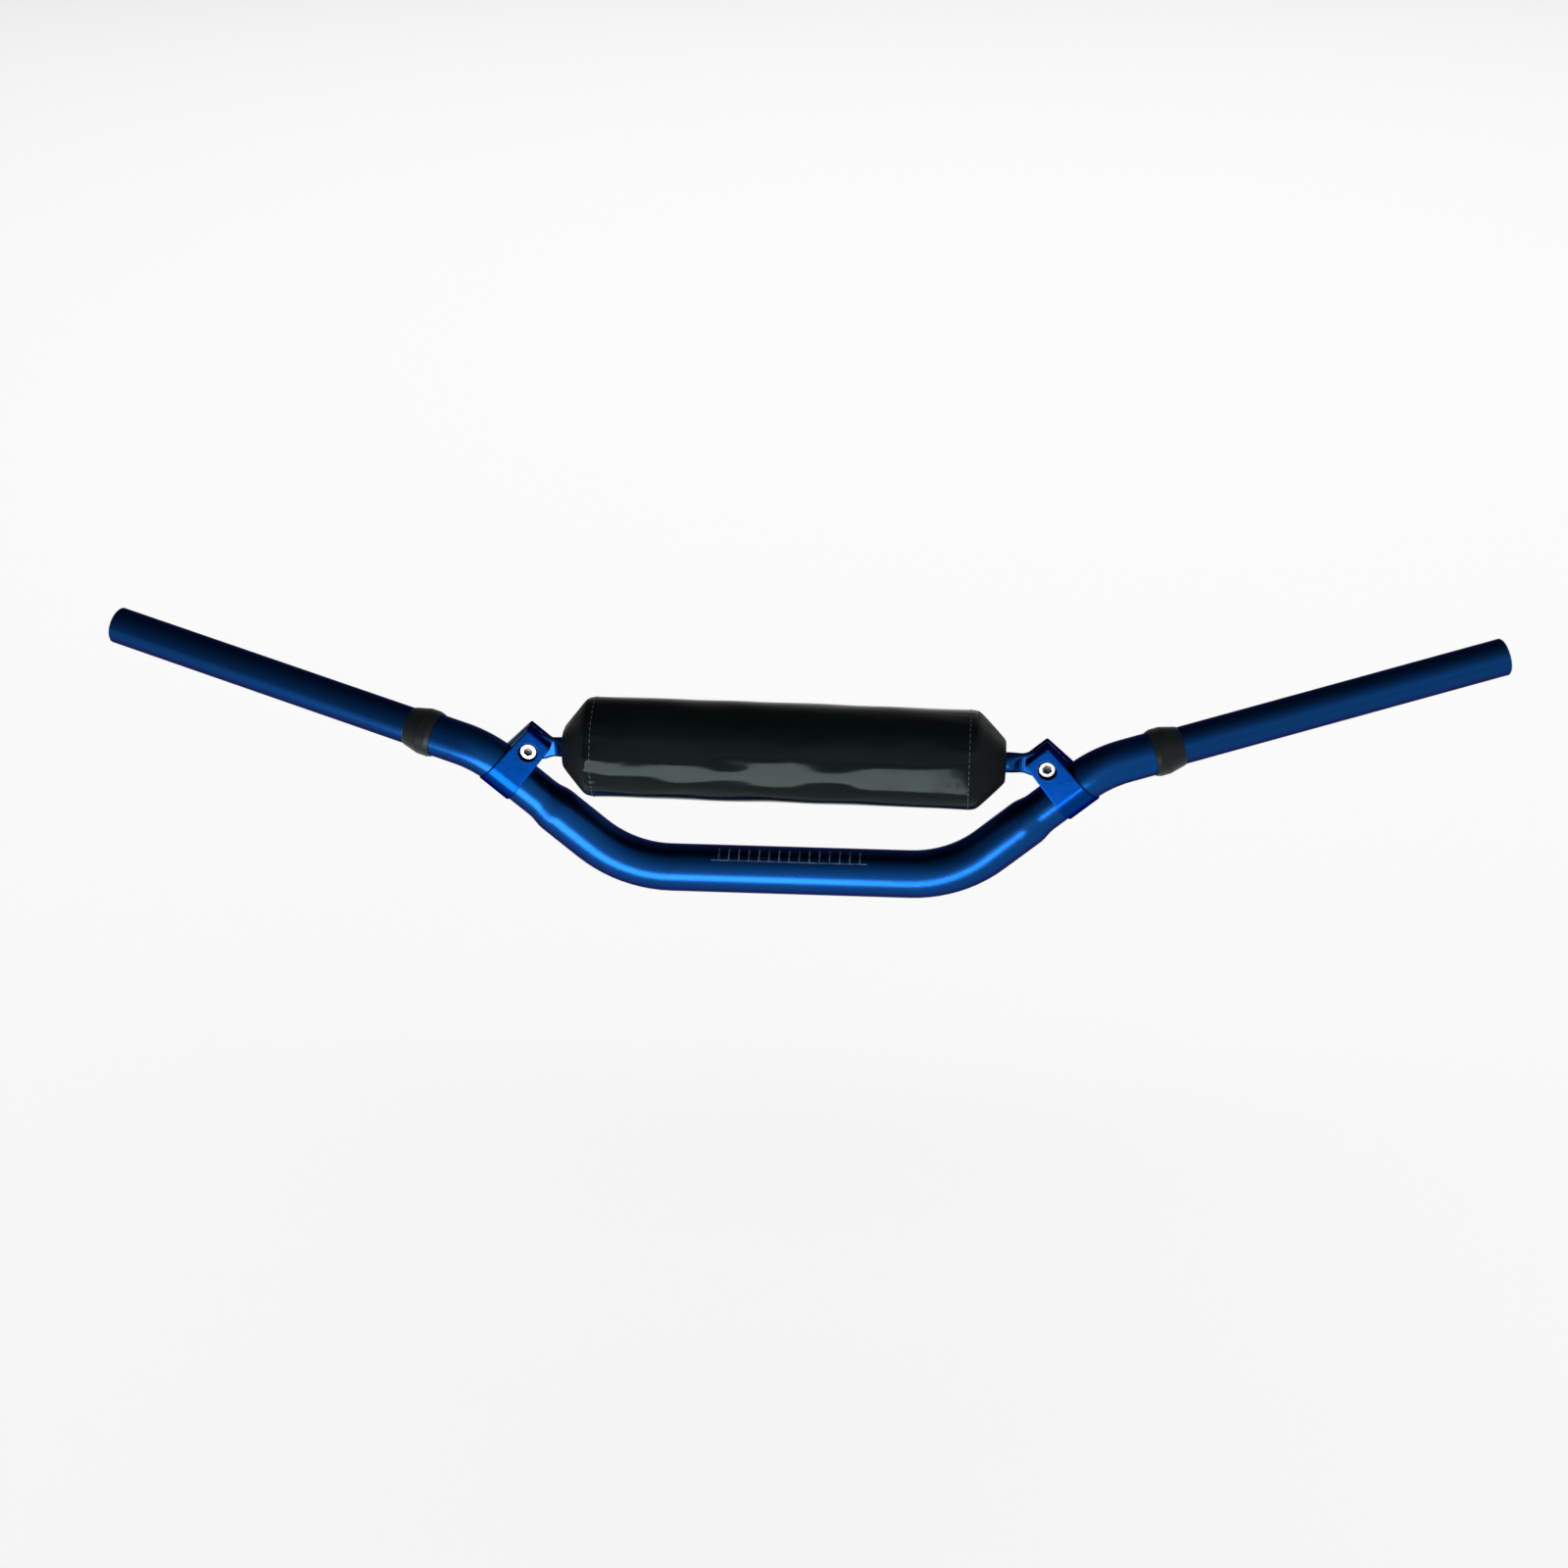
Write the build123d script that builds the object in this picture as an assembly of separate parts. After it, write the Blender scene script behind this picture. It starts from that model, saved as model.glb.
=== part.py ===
from build123d import *
import os
from math import sqrt, acos, sin, cos, tan, atan2, hypot, degrees

# Motocross handlebar: twin-wall bar with a clamped crossbar and a soft crossbar pad.
# Millimetres. +X runs along the bar, +Y is the way the grips sweep back, +Z is up.
# The origin is on the tube axis, in the middle of the straight that the fork clamps hold.

# Bend of the bar, on the tube axis
half_width = 415.3        # grip end, along X
end_sweep = 57.6          # grip end, behind the riser plane
end_height = 125.0        # grip end, above the centre straight
riser_foot = 98.3         # corner of the lower bend, along X
riser_head = 181.0        # corner of the upper bend, along X
rise = 73.0               # corner of the upper bend, above the centre straight
lower_radius = 71.0
upper_radius = 52.0

# Tubes
centre_dia = 28.6         # where the fork clamps hold
neck_dia = 25.4           # swaged down for the crossbar clamps
grip_dia = 22.2           # inner tube, forms the grips
grip_wall = 2.6
tube_gap = 0.2            # between the inner and the outer tube, on the radius
swage_at = 60.0           # middle of the swage, from the lower corner
swage_length = 22.0
swage_step = 4.0          # its steeper middle
swage_ease = 0.22         # share of the drop before that, and after it
end_chamfer = 0.8

# Collars over the end of the outer tube
collar_at = 30.5          # inner face, from the upper corner
collar_length = 18.0
collar_dia = 28.2
collar_lip = 23.4         # outer diameter at the grip end
collar_overlap = 5.0      # how far it reaches over the outer tube
collar_rim = 5.5          # cylindrical part
collar_shoulder = 2.6
collar_face = 0.5         # flat ring round the outer tube
collar_round = 1.2
collar_nose = 0.6         # chamfer at the grip end
collar_gap = 0.1
collar_seat = 0.25        # shallow turned seat in the inner tube, on the radius
collar_seat_clear = 0.15  # collar over its seat, on the radius
collar_seat_end = 0.2     # the seat ends this far past the collar

# Crossbar clamps
clamp_centre = 90.2       # middle of the two clamps, from the lower corners
clamp_shift = 2.0         # left clamp up the riser and right clamp down it, so the crossbar tilts
clamp_wall = 1.0          # band round the neck
clamp_top = 31.9          # top of the ears, from the tube axis
clamp_top_depth = 16.0
clamp_foot_width = 21.3
clamp_top_width = 17.3
clamp_gap = 0.1           # bore over the neck, on the radius
clamp_edge = 0.7
bolt_rise = 21.8          # bolt axis, from the tube axis
ear_floor = 2.3           # metal between the slot and each pocket
slot_into_bore = 3.0

# Bolts and nuts
bolt_dia = 6.0
bolt_length = 14.0
bolt_hole = 6.4
head_dia = 10.0
head_height = 4.0
head_pocket = 11.4
head_chamfer = 0.5
shank_chamfer = 0.6
hex_key = 5.0
key_depth = 2.4
pilot_dia = 2.8
pilot_depth = 0.8
nut_flats = 10.0
nut_height = 5.0
nut_gap = 0.1             # nut in its pocket, each side
nut_chamfer = 0.55
thread_gap = 0.05         # threads are plain cylinders, on the radius

# Crossbar
bar_dia = 12.0
bar_wall = 2.0
tongue_thick = 4.5
tongue_width = 16.0
tongue_gap = 0.1          # each side of the tongue in the slot
tongue_flat = 14.0        # flat part inboard of the bolt
tongue_blend = 8.0        # from the flat part to the round tube
tongue_shoulder = 7.0     # full width this far inboard of the bolt
tongue_narrow = 7.5       # from the full width to the tube's own

# Pad
pad_gap_left = 2.95       # from the ear of the left clamp
pad_gap_right = 9.55      # from the ear of the right clamp
pad_bevel = 18.0          # each end, outside the end seams
pad_size = 52.2           # square section
pad_corner = 17.9
pad_end_size = 24.0
pad_end_corner = 8.5
pad_end_round = 2.0
cover_thick = 1.2
pad_gap = 0.1             # foam in its cover, cover on the crossbar
slit = 0.5                # cut that lets the foam and the cover go over the crossbar
strip_thick = 1.0
strip_width = 16.0
strip_margin = 12.0       # from each end seam
strip_glue = 0.02         # behind the hook strip
flap_reach = 9.0          # inner flap, above the pad's middle
flap_foot = 10.0          # free edge of the outer flap, below the pad's middle

overcut = 2.0             # how far a cut reaches past the face it opens


def along(start, toward, distance):
    return start + (toward - start).normalized() * distance


foot = Vector(riser_foot, 0, 0)
head = Vector(riser_head, 0, rise)
tip = Vector(half_width, end_sweep, end_height)
riser_dir = (head - foot).normalized()
grip_dir = (tip - head).normalized()
swage_in = along(foot, head, swage_at - swage_length / 2)
swage_out = along(foot, head, swage_at + swage_length / 2)


def mirrored(p):
    return Vector(-p.X, p.Y, p.Z)


def bent_path(points, radii):
    """Wire through the points, with each inner corner rounded to its radius."""
    edges = []
    last = points[0]
    for i, radius in enumerate(radii, start=1):
        a = (points[i - 1] - points[i]).normalized()
        b = (points[i + 1] - points[i]).normalized()
        half = acos(max(-1.0, min(1.0, a.dot(b)))) / 2
        reach = radius / tan(half)
        start = points[i] + a * reach
        end = points[i] + b * reach
        middle = points[i] + (a + b).normalized() * (radius / sin(half) - radius)
        edges.append(Line(last, start))
        edges.append(ThreePointArc(start, middle, end))
        last = end
    edges.append(Line(last, points[-1]))
    return Wire([e.edge() for e in edges])


def swept(points, radii, diameter):
    path = bent_path(points, radii)
    ring = Plane(origin=points[0], z_dir=points[1] - points[0]) * Circle(diameter / 2)
    return sweep(ring, path=path)


def right_and_left(solid):
    return {"right": solid, "left": mirror(solid, about=Plane.YZ)}


# Inner tube, right through
full = [mirrored(tip), mirrored(head), mirrored(foot), foot, head, tip]
full_radii = [upper_radius, lower_radius, lower_radius, upper_radius]
grip_bore = grip_dia - 2 * grip_wall
inner_tube = swept(full, full_radii, grip_dia)
past = [along(tip, head, -overcut), head, foot, mirrored(foot), mirrored(head)]
past.append(mirrored(past[0]))
inner_tube = chamfer(inner_tube.faces().sort_by(Axis.X)[0].edges(), end_chamfer)
inner_tube = chamfer(inner_tube.faces().sort_by(Axis.X)[-1].edges(), end_chamfer)
inner_tube -= swept(past, full_radii, grip_bore)


def grip_plane(distance):
    """Across the grip length, this far from the upper corner."""
    return Plane(origin=along(head, tip, distance), z_dir=grip_dir)


seat_radius = grip_dia / 2 - collar_seat
seat_from = collar_at + collar_overlap
seat_length = collar_length - collar_overlap + collar_seat_end
collar_groove = Circle(grip_dia / 2 + overcut) - Circle(seat_radius)
collar_groove = extrude(grip_plane(seat_from) * collar_groove, amount=seat_length)
inner_tube -= collar_groove
inner_tube -= mirror(collar_groove, about=Plane.YZ)

# Outer tube: full diameter in the middle, swaged to the neck on each riser
outer_end = along(head, tip, collar_at + collar_overlap)


def swage():
    """Turned transition from the centre diameter to the neck, on the riser axis."""
    big, small = centre_dia / 2, neck_dia / 2
    drop, middle = big - small, swage_length / 2
    edge = Spline([(0, big), (middle - swage_step / 2, big - swage_ease * drop),
                   (middle + swage_step / 2, small + swage_ease * drop), (swage_length, small)],
                  tangents=[(1, 0), (1, 0)])
    outline = edge.edge() + Polyline((swage_length, small), (swage_length, 0), (0, 0), (0, big)).edges()
    solid = revolve(make_face(outline), axis=Axis.X)
    return Plane(origin=swage_in, x_dir=riser_dir, z_dir=(0, -1, 0)).location * solid


outer_tube = swept([mirrored(swage_in), mirrored(foot), foot, swage_in],
                   [lower_radius, lower_radius], centre_dia)
neck = swept([swage_out, head, outer_end], [upper_radius], neck_dia)
for part in (swage(), neck):
    outer_tube += part
    outer_tube += mirror(part, about=Plane.YZ)
outer_tube -= swept(past, full_radii, grip_dia + 2 * tube_gap)


# Collars
def collar():
    over_neck = neck_dia / 2 + collar_gap
    over_grip = seat_radius + collar_seat_clear
    rim_end = collar_shoulder + collar_rim
    outline = Polyline(
        (0, over_neck), (0, over_neck + collar_face), (collar_shoulder, collar_dia / 2),
        (rim_end, collar_dia / 2), (collar_length - collar_nose, collar_lip / 2),
        (collar_length, collar_lip / 2 - collar_nose / 2), (collar_length, over_grip),
        (collar_overlap + collar_gap, over_grip), (collar_overlap + collar_gap, over_neck),
        close=True)
    face = make_face(outline)
    corners = [v for v in face.vertices()
               if abs(v.Y - collar_dia / 2) < 0.01]
    face = fillet(corners, collar_round)
    solid = revolve(face, axis=Axis.X)
    place = Plane(origin=along(head, tip, collar_at), x_dir=grip_dir,
                  z_dir=grip_dir.cross(Vector(0, 0, 1)))
    return place.location * solid


# Crossbar clamps, drawn on the riser: local X along the tube, Y outward, Z to the front
def clamp_plane(distance):
    return Plane(origin=along(foot, head, distance), x_dir=riser_dir, z_dir=(0, -1, 0))


right_place = clamp_plane(clamp_centre - clamp_shift)
left_place = clamp_plane(clamp_centre + clamp_shift)     # mirrored afterwards
slot_width = tongue_thick + 2 * tongue_gap
seat = slot_width / 2 + ear_floor


def on_both(point):
    """A clamp's local point, on the left and on the right side of the bar."""
    return mirrored(left_place.from_local_coords(point)), right_place.from_local_coords(point)


def clamped(solid):
    """A solid drawn on a clamp, put on both sides of the bar."""
    return {"right": right_place.location * solid,
            "left": mirror(left_place.location * solid, about=Plane.YZ)}


bolt_left, bolt_right = on_both((0, bolt_rise, 0))
bolt_half = (bolt_right - bolt_left).length / 2
bar_dir = (bolt_right - bolt_left).normalized()
crossbar_place = Plane(origin=(bolt_left + bolt_right) / 2, x_dir=bar_dir,
                       z_dir=bar_dir.cross(Vector(0, 1, 0)))


def clamp():
    band = neck_dia / 2 + clamp_gap + clamp_wall
    half_top = clamp_top_depth / 2
    reach = hypot(half_top, clamp_top)
    tilt = atan2(clamp_top, half_top) - acos(band / reach)
    touch_y, touch_z = band * sin(tilt), band * cos(tilt)
    section = Circle(band) + make_face(Polyline(
        (touch_y, touch_z), (clamp_top, half_top), (clamp_top, -half_top), (touch_y, -touch_z),
        close=True))
    body = extrude(Plane.YZ * section, amount=clamp_foot_width, both=True)
    taper = make_face(Polyline(
        (-clamp_foot_width / 2, -band), (clamp_foot_width / 2, -band),
        (clamp_top_width / 2, clamp_top), (-clamp_top_width / 2, clamp_top), close=True))
    body &= extrude(taper, amount=band + overcut, both=True)
    body = fillet(body.edges().group_by(Axis.Y)[-1], 2 * clamp_edge)
    ends = body.faces().filter_by(lambda f: abs(f.normal_at().X) > 0.9)
    body = fillet(ends.edges(), clamp_edge)
    slot_foot = neck_dia / 2 - slot_into_bore
    slot_depth = clamp_top + overcut - slot_foot
    slot = Box(clamp_foot_width + overcut, slot_depth, slot_width)
    body -= Pos(0, slot_foot + slot_depth / 2, 0) * slot
    axis = Pos(0, bolt_rise, 0)
    body -= axis * Cylinder(bolt_hole / 2, 2 * band)
    pocket = 2 * band
    body -= axis * Pos(0, 0, seat + pocket / 2) * Cylinder(head_pocket / 2, pocket)
    nut_hole = RegularPolygon((nut_flats / 2 + nut_gap), 6, major_radius=False)
    body -= axis * Pos(0, 0, -seat) * extrude(nut_hole, amount=-pocket)
    return body


def clamp_bore():
    return swept([along(foot, head, swage_at), head, outer_end], [upper_radius],
                 neck_dia + 2 * clamp_gap)


def bolt():
    solid = Pos(0, 0, head_height / 2) * Cylinder(head_dia / 2, head_height)
    solid = chamfer(solid.edges().group_by(Axis.Z)[-1], head_chamfer)
    shank = Pos(0, 0, -bolt_length / 2) * Cylinder(bolt_dia / 2, bolt_length)
    solid += chamfer(shank.edges().group_by(Axis.Z)[0], shank_chamfer)
    key = RegularPolygon(hex_key / 2, 6, major_radius=False)
    solid -= Pos(0, 0, head_height) * extrude(key, amount=-key_depth)
    pilot = key_depth + pilot_depth
    solid -= Pos(0, 0, head_height - pilot / 2) * Cylinder(pilot_dia / 2, pilot)
    return Pos(0, bolt_rise, seat) * solid


def nut():
    solid = extrude(RegularPolygon(nut_flats / 2, 6, major_radius=False), amount=-nut_height)
    dome = Pos(0, 0, -nut_height / 2) * Cylinder(nut_flats / 2 * 1.13, nut_height)
    solid &= chamfer(dome.edges().filter_by(GeomType.CIRCLE), nut_chamfer)
    hole = Pos(0, 0, -nut_height / 2) * Cylinder(bolt_dia / 2 + thread_gap, nut_height + overcut)
    solid -= hole
    return Pos(0, bolt_rise, -seat) * solid


# Crossbar: tube with flattened, drilled ends
def ease(u):
    u = max(0.0, min(1.0, u))
    return u * u * (3 - 2 * u)


def bar_section(inboard):
    """Section of the crossbar's end, this far inboard of the bolt."""
    thin = 1 - ease((inboard - tongue_flat) / tongue_blend)
    wide = 1 - ease((inboard - tongue_shoulder) / tongue_narrow)
    thick = bar_dia + (tongue_thick - bar_dia) * thin
    width = bar_dia + (tongue_width - bar_dia) * wide
    plane = Plane(origin=(bolt_half - inboard, 0, 0), x_dir=(0, 1, 0), z_dir=(1, 0, 0))
    return plane * RectangleRounded(thick, width, thick * 0.498)


def crossbar():
    blend_from = tongue_flat + tongue_blend
    round_half = bolt_half - blend_from
    solid = Rot(0, 90, 0) * Cylinder(bar_dia / 2, 2 * round_half)
    steps = 10
    span = blend_from - tongue_shoulder
    end = loft([bar_section(blend_from - span * i / steps) for i in range(steps + 1)], ruled=True)
    flat = extrude(bar_section(tongue_shoulder), amount=tongue_shoulder + tongue_width)
    cap = Pos(bolt_half, 0, 0) * Rot(90, 0, 0) * Cylinder(tongue_width / 2, tongue_thick)
    block = Pos(bolt_half - tongue_width, 0, 0) * Box(2 * tongue_width, tongue_thick, tongue_width)
    end += flat & (cap + block)
    end -= Pos(bolt_half, 0, 0) * Rot(90, 0, 0) * Cylinder(bolt_hole / 2, bar_dia)
    solid += end
    solid += mirror(end, about=Plane.YZ)
    solid -= Rot(0, 90, 0) * Cylinder(bar_dia / 2 - bar_wall, 2 * round_half)
    return crossbar_place.location * solid


# Pad, slipped over the crossbar between the ears of the two clamps
ear_left, ear_right = [crossbar_place.to_local_coords(p).X
                       for p in on_both((-clamp_top_width / 2, clamp_top, 0))]
pad_left = ear_left + pad_gap_left
pad_right = ear_right - pad_gap_right
pad_body = pad_right - pad_left - 2 * pad_bevel
pad_place = crossbar_place.location * Pos((pad_left + pad_right) / 2, 0, 0)
strip_length = pad_body - 2 * strip_margin
body_end = pad_body / 2


def pad_section(x, size, corner):
    plane = Plane(origin=(x, 0, 0), x_dir=(0, 1, 0), z_dir=(1, 0, 0))
    return plane * RectangleRounded(size, size, corner)


def pad_form(inset, length_inset):
    """The pad's whole form, drawn in by the inset."""
    size, corner = pad_size - 2 * inset, pad_corner - inset
    end_size, end_corner = pad_end_size - 2 * inset, pad_end_corner - inset
    end_x = body_end + pad_bevel - length_inset
    form = extrude(pad_section(-body_end, size, corner), amount=pad_body)
    bevel = loft([pad_section(body_end, size, corner), pad_section(end_x, end_size, end_corner)])
    bevel = fillet(bevel.faces().sort_by(Axis.X)[-1].edges(), pad_end_round)
    return form, bevel


def strip_box(y_in, y_out, z_from, z_to, length):
    return Pos(0, (y_in + y_out) / 2, (z_from + z_to) / 2) * Box(length, y_out - y_in, z_to - z_from)


back = pad_size / 2
under = back - cover_thick
flap_out = under - 2 * strip_thick
flap_in = flap_out - cover_thick
through = Rot(0, 90, 0) * Cylinder(bar_dia / 2 + pad_gap, 2 * pad_body)
outer_body, outer_bevel = pad_form(0, 0)
wall_body, wall_bevel = pad_form(cover_thick, cover_thick)
foam_body, foam_bevel = pad_form(cover_thick + pad_gap, cover_thick + pad_gap)


def pad_cover():
    cover = outer_body - wall_body
    cover -= strip_box(under - slit, back + overcut, -flap_foot, -flap_foot + slit, pad_body + overcut)
    fold_foot = -flap_foot - cover_thick
    cover += strip_box(flap_in, under + cover_thick / 2, fold_foot, -flap_foot, pad_body)
    cover += strip_box(flap_in, flap_out, fold_foot, flap_reach, pad_body)
    return pad_place * cover


def pad_foam():
    foam = foam_body + foam_bevel + mirror(foam_bevel, about=Plane.YZ)
    recess_foot = -flap_foot - cover_thick - pad_gap
    foam -= strip_box(flap_in - pad_gap, back, recess_foot, flap_reach + slit, pad_body)
    foam -= through
    foam -= strip_box(0, back, -slit / 2, slit / 2, pad_body + 2 * pad_bevel)
    return pad_place * foam


def pad_end(side):
    end = outer_bevel - wall_bevel - through
    if side < 0:
        end = mirror(end, about=Plane.YZ)
    return pad_place * end


strip_mid = (flap_reach - flap_foot) / 2
strip_from, strip_to = strip_mid - strip_width / 2, strip_mid + strip_width / 2

parts = {
    "outer_tube": outer_tube,
    "inner_tube": inner_tube,
    "crossbar": crossbar(),
    "pad_foam": pad_foam(),
    "pad_cover": pad_cover(),
    "pad_end_right": pad_end(1),
    "pad_end_left": pad_end(-1),
    "pad_hook_strip": pad_place * strip_box(under - strip_thick, under - strip_glue, strip_from, strip_to,
                                            strip_length),
    "pad_loop_strip": pad_place * strip_box(flap_out, flap_out + strip_thick, strip_from, strip_to,
                                            strip_length),
}
bore = right_and_left(clamp_bore())
pairs = {
    "end_collar": right_and_left(collar()),
    "crossbar_clamp": {side: ears - bore[side] for side, ears in clamped(clamp()).items()},
    "clamp_bolt": clamped(bolt()),
    "clamp_nut": clamped(nut()),
}
for name, sides in pairs.items():
    for side, solid in sides.items():
        parts[name + "_" + side] = solid

os.makedirs("parts", exist_ok=True)
for name, solid in parts.items():
    export_step(solid, os.path.join("parts", name + ".step"))
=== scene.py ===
import math
import bmesh
import bpy
from mathutils import Matrix, Vector, noise
from mathutils.bvhtree import BVHTree


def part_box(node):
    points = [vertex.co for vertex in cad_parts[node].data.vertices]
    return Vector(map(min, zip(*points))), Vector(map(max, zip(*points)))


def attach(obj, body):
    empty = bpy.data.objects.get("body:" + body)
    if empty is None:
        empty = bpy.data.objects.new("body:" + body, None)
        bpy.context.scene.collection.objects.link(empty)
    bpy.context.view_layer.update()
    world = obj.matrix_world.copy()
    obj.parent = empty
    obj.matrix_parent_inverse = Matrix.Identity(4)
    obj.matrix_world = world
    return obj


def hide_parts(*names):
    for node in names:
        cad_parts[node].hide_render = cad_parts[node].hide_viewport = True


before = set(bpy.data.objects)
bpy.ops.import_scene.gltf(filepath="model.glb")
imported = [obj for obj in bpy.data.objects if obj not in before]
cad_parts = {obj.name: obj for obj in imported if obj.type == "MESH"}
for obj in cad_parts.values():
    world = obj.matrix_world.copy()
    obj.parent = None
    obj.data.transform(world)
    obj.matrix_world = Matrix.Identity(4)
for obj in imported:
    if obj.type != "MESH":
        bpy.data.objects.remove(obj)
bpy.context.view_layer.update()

MM = 0.001
IMAGE_PX = 1600.0

# Camera: the photograph's viewing angle
CAMERA_FOCAL_PX = 2558.8
CAMERA_DISTANCE = 1.4753
CAMERA_ELEVATION = math.radians(25.204)
CAMERA_YAW = math.radians(4.865)
CAMERA_ROLL = math.radians(-0.506)
CAMERA_TARGET = Vector((-3.33 * MM, 0.0, 57.04 * MM))
SENSOR_MM = 36.0

# Studio, in metres: a floor, a low softbox in front of the bar and a soft light above and behind it
FLOOR_Z = -0.30
FLOOR_HALF = 15.0
FLOOR_COLOR = (0.8, 0.8, 0.8)
FLOOR_GLOW = 0.38         # added for the camera and for reflections only
SOFTBOX_LEFT, SOFTBOX_RIGHT = -0.62, 0.11
SOFTBOX_NEAR, SOFTBOX_FAR = -0.38, -1.5
SOFTBOX_OVER_FLOOR = 0.02
SOFTBOX_LEVEL = 9.5
TOP_PLACE, TOP_AIM = (0.2, 2.4, 3.6), (0.2, 2.4, 0)
TOP_WIDTH, TOP_DEPTH = 8.5, 10.0
TOP_LEVEL = 0.78

# Brightness of the room by the direction's Z, from the horizon to straight up, in front and behind
SKY_FRONT = ((0.0, 1.15), (0.29, 0.95), (0.5, 0.72), (0.71, 0.42), (0.94, 0.2), (1.0, 0.1))
SKY_REAR = ((0.0, 1.0), (0.12, 0.6), (0.42, 0.25), (0.72, 0.06), (1.0, 0.08))
SKY_TURN = (-0.25, 0.35)  # from front to rear, by the direction's Y
SKY_DIM = (-0.5, -0.05)   # from the dim left side to the rest, by the direction's X
SKY_LEFT_SHARE = 0.3      # how bright the dim side is

# Colours of the finishes
ANODISED = (0.0012, 0.046, 0.19)
CLAMP_BLUE = (0.0008, 0.032, 0.18)
# Pale metal at worn edges, partly a painted highlight along the edges
BARE_AND_GLINT = (0.30, 0.40, 0.48)
MARK = (0.12, 0.16, 0.26)
GRIP_SHADE = 0.8          # painted shade: the grips' blue darkened beside the other tubes', for the less light they catch
# Painted shade inside the bolts' sockets
SOCKET_SHADE = (0.06, 0.065, 0.07)

# Lasered scale on the centre tube, in millimetres
TUBE_RADIUS = 14.3
SCALE_HALF, SCALE_PITCH = 46.3, 6.0
SCALE_LOW, SCALE_TALL = 11.7, 9.0            # measured round the tube from its front
TICK_HALF, LINE_HALF = 0.38, 0.35

# Socket of a bolt, in millimetres: its radius, and the depths where its painted shade starts and is full
SOCKET_RADIUS = 3.1
SHADE_STARTS, SHADE_FULL = 0.2, 1.2

# The pad, in millimetres. Its ends stop a little short of the CAD's, as in the photograph.
PAD_MIDDLE = (-1.495, 0.0, 76.035)
PAD_LIFT = 0.5            # the soft pad rides a little high on its bar
PAD_TILT = math.radians(-0.501)
PAD_LEFT, PAD_RIGHT = -130.6, 126.8
PAD_BEVEL_LEFT, PAD_BEVEL_RIGHT = 14.0, 16.0
SEAM_LEFT, SEAM_RIGHT = PAD_LEFT + PAD_BEVEL_LEFT, PAD_RIGHT - PAD_BEVEL_RIGHT
PAD_SIZE, PAD_CORNER = 52.2, 17.9
PAD_END_SIZE, PAD_END_CORNER = 24.0, 8.5
COVER_UNDERSIZE = 0.2     # how much narrower the cover is before it swells
PAD_CROWN = 1.3           # how much more the top stands up than the sides
PAD_BULGE_LEFT, PAD_BULGE_RIGHT = 3.5, 0.8   # how far the middle of each side stands out
BULGE_HALF = 16.0         # the bulge ends this far from the middle of a side
END_BULGE = 0.3
SEAM_DEPTH, SEAM_REACH = 0.5, 1.6
FLAP_EDGE = 1.8           # outline length past the back flat where the outer flap ends
FLAP_EDGE_HALF = 0.28     # that edge falls off over this much on each side
FLAP_RISE = 0.1
FLAP_DROP, FLAP_DROP_REACH = 0.85, 9.0       # the groove past that edge, and how slowly it gets shallower
BAR_RADIUS, BAR_CLEARANCE = 6.0, 0.15
AROUND, BODY_STEPS, END_STEPS = 96, 84, 7

# Rings that close each end: their share of the way in to the bar, and how far out they stand
CAP_RINGS = ((0.14, 0.7), (0.4, 1.0), (0.7, 0.6), (0.92, -0.3), (1.0, -2.0))
CAP_HELD = 0.9            # rings past this share are held on the bar

# Length of the outline round the pad, and the place and step of the flap's edge as fractions of it
OUTLINE_LENGTH = 4 * (PAD_SIZE - 2 * PAD_CORNER + math.pi * PAD_CORNER / 2)
FLAP_AT = 1 - FLAP_EDGE / OUTLINE_LENGTH
FLAP_STEP = FLAP_EDGE_HALF / OUTLINE_LENGTH

# Cloth of the cover: air pressure, the most it may move in millimetres, and frames
CLOTH_PRESSURE, CLOTH_CAP, CLOTH_FRAMES = 4.0, 1.4, 20

# Puckers at the seams and slack between them, in millimetres
PUCKER_LEFT, PUCKER_RIGHT, PUCKER_END_SHARE = 1.3, 0.7, 0.4
PUCKER_REACH_BODY, PUCKER_REACH_END, PUCKER_START = 9.0, 7.0, 1.2
SLACK_BODY, SLACK_END = 0.55, 0.12
PUCKER_WAVES, SLACK_WAVES = (0.03, 0.30, 0.30), (0.035, 0.05, 0.11)
SLACK_OFFSET = Vector((7, 3, 1))
FACES_ALONG = 0.9         # where the normal's x is past this, the face closes an end

# Foam, in millimetres: kept as it is up to this x, and ending this far inside the cover
FOAM_KEPT, FOAM_INSET = 100.0, 1.8

# Stitches, in millimetres
STITCH_PITCH, STITCH_LENGTH, STITCH_THICK = 3.6, 2.7, 0.55
STITCH_SINK = 0.05
STITCH_FROM_SEAM = 4.2
STITCH_FROM_FLAP, FLAP_ROW_MARGIN = 4.0, 6.0
STITCH_PROFILE = ((-0.5, 0.35), (-0.36, 0.9), (0.0, 1.0), (0.36, 0.9), (0.5, 0.35))  # place, thickness
STITCH_ARCH, STITCH_DIP = 0.45, 1.6
STITCH_SIDES = 6
SEARCH_FROM = 8.0         # the cover is looked for from this far outside


def new_object(name, data):
    made = bpy.data.objects.new(name, data)
    bpy.context.scene.collection.objects.link(made)
    return made


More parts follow.
